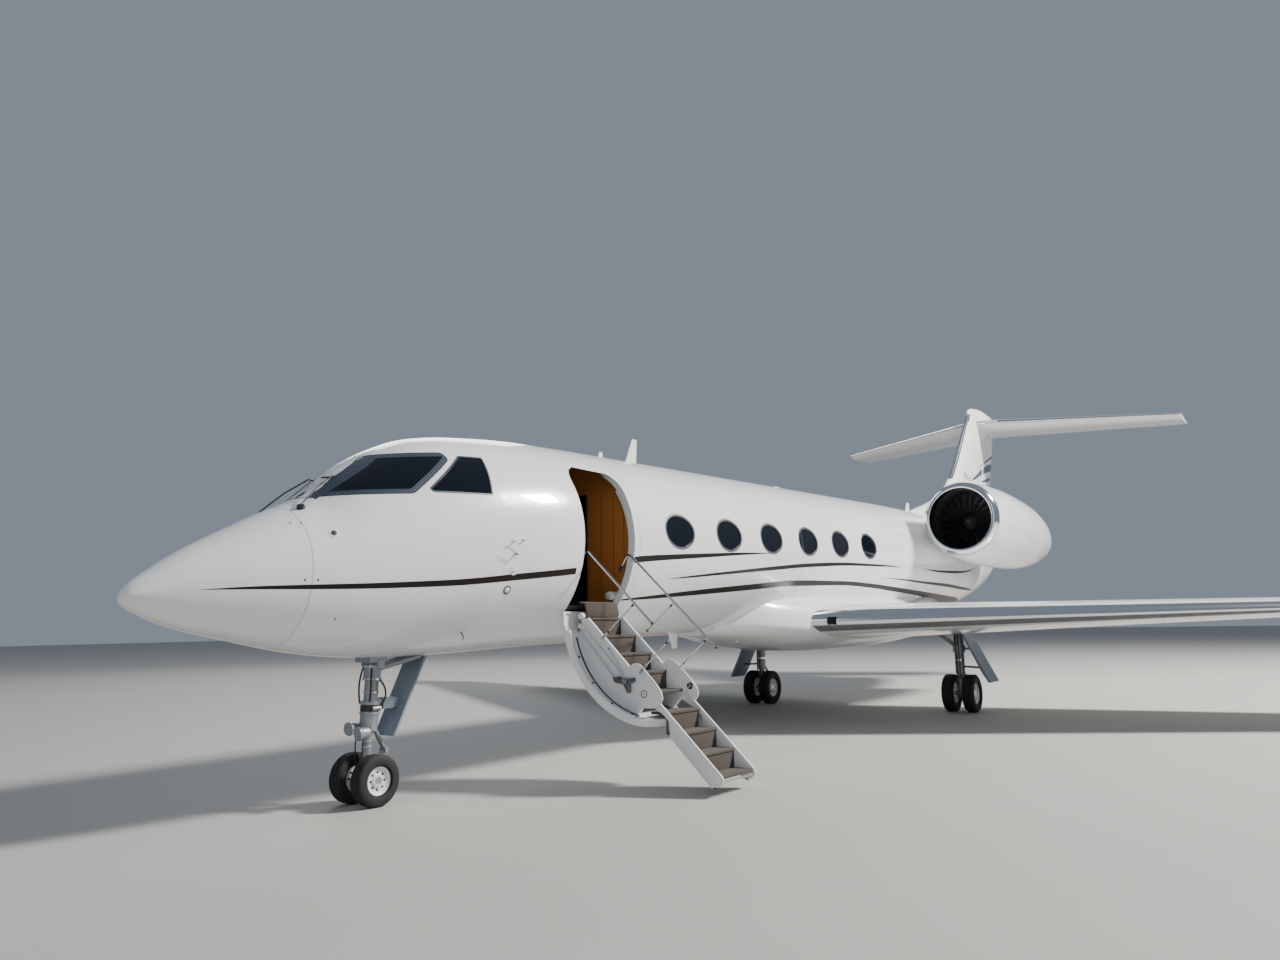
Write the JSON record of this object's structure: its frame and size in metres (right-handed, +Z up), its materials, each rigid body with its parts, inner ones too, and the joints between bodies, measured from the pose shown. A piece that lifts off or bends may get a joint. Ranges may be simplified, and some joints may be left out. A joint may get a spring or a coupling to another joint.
{
  "type": "business jet",
  "caption": "Business jet parked on its wheels with its airstair let down; turning wheels and fans, steering nose gear, hinged control surfaces, flaps and folding stair.",
  "frame": {"origin": "on the ground in the middle of the overall box", "axes": "+Z up, -Y towards the nose, +X to the port side"},
  "size_m": [23.7618, 27.1896, 7.6719],
  "materials": {
    "white_paint": "gloss",
    "white_shell": "gloss",
    "engine_metal": "satin",
    "fan_metal": "satin",
    "gear_steel": "satin",
    "bright_steel": "polished",
    "tyre": "matte",
    "glazing": "gloss",
    "wood_veneer": "gloss",
    "tread_carpet": "matte",
    "cabin_grey": "matte",
    "seat_leather": "satin",
    "stair_white": "gloss"
  },
  "bodies": {
    "airframe": {"radome": "white_shell", "forward_fuselage": "white_paint", "cabin_fuselage": "white_paint", "aft_fuselage": "white_paint", "cabin_floor": "cabin_grey", "cockpit_bulkhead": "cabin_grey", "entry_bulkhead": "wood_veneer", "instrument_panel": "cabin_grey", "pilot_seats": "seat_leather", "windshield_port": "glazing", "windshield_starboard": "glazing", "side_window_port": "glazing", "side_window_starboard": "glazing", "cabin_windows_port": "glazing", "cabin_windows_starboard": "glazing", "wing_port": "white_paint", "wing_starboard": "white_paint", "belly_fairing": "white_shell", "fin": "white_shell", "tailplane": "white_shell", "nacelle_port": "white_shell", "nacelle_starboard": "white_shell", "engine_port": "engine_metal", "engine_starboard": "engine_metal", "pylon_port": "white_shell", "pylon_starboard": "white_shell", "main_leg_port": "gear_steel", "main_leg_starboard": "gear_steel", "main_gear_door_port": "white_shell", "main_gear_door_starboard": "white_shell", "nose_leg": "gear_steel", "nose_gear_door": "white_shell"},
    "flap_port": {"flap_port": "white_shell"},
    "flap_starboard": {"flap_starboard": "white_shell"},
    "aileron_port": {"aileron_port": "white_shell"},
    "aileron_starboard": {"aileron_starboard": "white_shell"},
    "rudder": {"rudder": "white_shell"},
    "elevator_port": {"elevator_port": "white_shell"},
    "elevator_starboard": {"elevator_starboard": "white_shell"},
    "fan_port": {"fan_port": "fan_metal"},
    "fan_starboard": {"fan_starboard": "fan_metal"},
    "nose_fork": {"nose_fork": "gear_steel"},
    "nose_wheels": {"nose_wheels": "tyre"},
    "main_wheels_port": {"main_wheels_port": "tyre"},
    "main_wheels_starboard": {"main_wheels_starboard": "tyre"},
    "airstair_upper": {"door_shell": "stair_white", "upper_stringers": "stair_white", "upper_treads": "tread_carpet"},
    "airstair_lower": {"lower_stringers": "stair_white", "lower_treads": "tread_carpet"},
    "upper_struts": {"upper_strut_fore": "bright_steel", "upper_strut_aft": "bright_steel"},
    "handrails": {"handrail_fore": "bright_steel", "handrail_aft": "bright_steel"},
    "lower_struts": {"lower_strut_fore": "bright_steel", "lower_strut_aft": "bright_steel"}
  },
  "joints": [
    {"name": "flap_port_hinge", "type": "hinge", "parent": "airframe", "child": "flap_port", "pos_m": [1.5, 0.64154, 1.58599], "axis": [-0.9586, -0.283, -0.0309], "range_deg": [0, 35]},
    {"name": "flap_starboard_hinge", "type": "hinge", "parent": "airframe", "child": "flap_starboard", "pos_m": [-1.5, 0.64154, 1.58599], "axis": [-0.9586, 0.283, 0.0309], "range_deg": [0, 35]},
    {"name": "aileron_port_hinge", "type": "hinge", "parent": "airframe", "child": "aileron_port", "pos_m": [8.3, 2.71691, 1.80324], "axis": [-0.9475, -0.3193, -0.0195], "range_deg": [-20, 20]},
    {"name": "aileron_starboard_hinge", "type": "hinge", "parent": "airframe", "child": "aileron_starboard", "pos_m": [-8.3, 2.71691, 1.80324], "axis": [-0.9475, 0.3193, 0.0195], "range_deg": [-20, 20]},
    {"name": "rudder_hinge", "type": "hinge", "parent": "airframe", "child": "rudder", "pos_m": [0, 8.96508, 4.42], "axis": [0, 0.5017, 0.865], "range_deg": [-25, 25]},
    {"name": "elevator_port_hinge", "type": "hinge", "parent": "airframe", "child": "elevator_port", "pos_m": [0.215, 11.22688, 7.18153], "axis": [-0.929, -0.37, 0.0005], "range_deg": [-25, 20]},
    {"name": "elevator_starboard_hinge", "type": "hinge", "parent": "airframe", "child": "elevator_starboard", "pos_m": [-0.215, 11.22688, 7.18153], "axis": [-0.929, 0.37, -0.0005], "range_deg": [-25, 20]},
    {"name": "fan_port_spin", "type": "hinge", "parent": "airframe", "child": "fan_port", "pos_m": [1.945, 2.18525, 3.6422], "axis": [0, 0.9996, -0.03], "continuous": true},
    {"name": "main_wheels_port_spin", "type": "hinge", "parent": "airframe", "child": "main_wheels_port", "pos_m": [2.085, 0.41825, 0.34], "axis": [1, 0, 0], "continuous": true},
    {"name": "fan_starboard_spin", "type": "hinge", "parent": "airframe", "child": "fan_starboard", "pos_m": [-1.945, 2.18525, 3.6422], "axis": [0, 0.9996, -0.03], "continuous": true},
    {"name": "main_wheels_starboard_spin", "type": "hinge", "parent": "airframe", "child": "main_wheels_starboard", "pos_m": [-2.085, 0.41825, 0.34], "axis": [1, 0, 0], "continuous": true},
    {"name": "nose_steering", "type": "hinge", "parent": "airframe", "child": "nose_fork", "pos_m": [0, -11.15245, 0.85], "axis": [0, 0.0599, 0.9982], "range_deg": [-65, 65]},
    {"name": "nose_wheels_spin", "type": "hinge", "parent": "nose_fork", "child": "nose_wheels", "pos_m": [0, -11.18875, 0.245], "axis": [1, 0, 0], "continuous": true},
    {"name": "door_hinge", "type": "hinge", "parent": "airframe", "child": "airstair_upper", "pos_m": [0.846, -8.79475, 1.813], "axis": [0, -1, 0], "range_deg": [0, 133.85]},
    {"name": "stair_fold", "type": "hinge", "parent": "airstair_upper", "child": "airstair_lower", "pos_m": [2.00401, -8.79475, 0.91438], "axis": [0, -1, 0], "range_deg": [0, 180.01]},
    {"name": "upper_strut_foot", "type": "hinge", "parent": "airstair_upper", "child": "upper_struts", "pos_m": [1.30316, -8.79475, 1.54107], "axis": [0, -1, 0], "range_deg": [-40, 0]},
    {"name": "rail_pivot", "type": "hinge", "parent": "upper_struts", "child": "handrails", "pos_m": [1.76203, -8.79475, 1.91735], "axis": [0, -1, 0], "range_deg": [-7, 0]},
    {"name": "lower_strut_foot", "type": "hinge", "parent": "airstair_upper", "child": "lower_struts", "pos_m": [1.81212, -8.79475, 1.18825], "axis": [0, -1, 0], "range_deg": [-20, 0]}
  ],
  "couplings": [
    {"joint": "flap_starboard_hinge", "follows": "flap_port_hinge", "ratio": 1},
    {"joint": "aileron_starboard_hinge", "follows": "aileron_port_hinge", "ratio": -1},
    {"joint": "elevator_starboard_hinge", "follows": "elevator_port_hinge", "ratio": 1},
    {"joint": "stair_fold", "follows": "door_hinge", "ratio": 1.3448},
    {"joint": "upper_strut_foot", "follows": "door_hinge", "ratio": -0.29884},
    {"joint": "rail_pivot", "follows": "door_hinge", "ratio": -0.0523},
    {"joint": "lower_strut_foot", "follows": "door_hinge", "ratio": -0.14942}
  ]
}
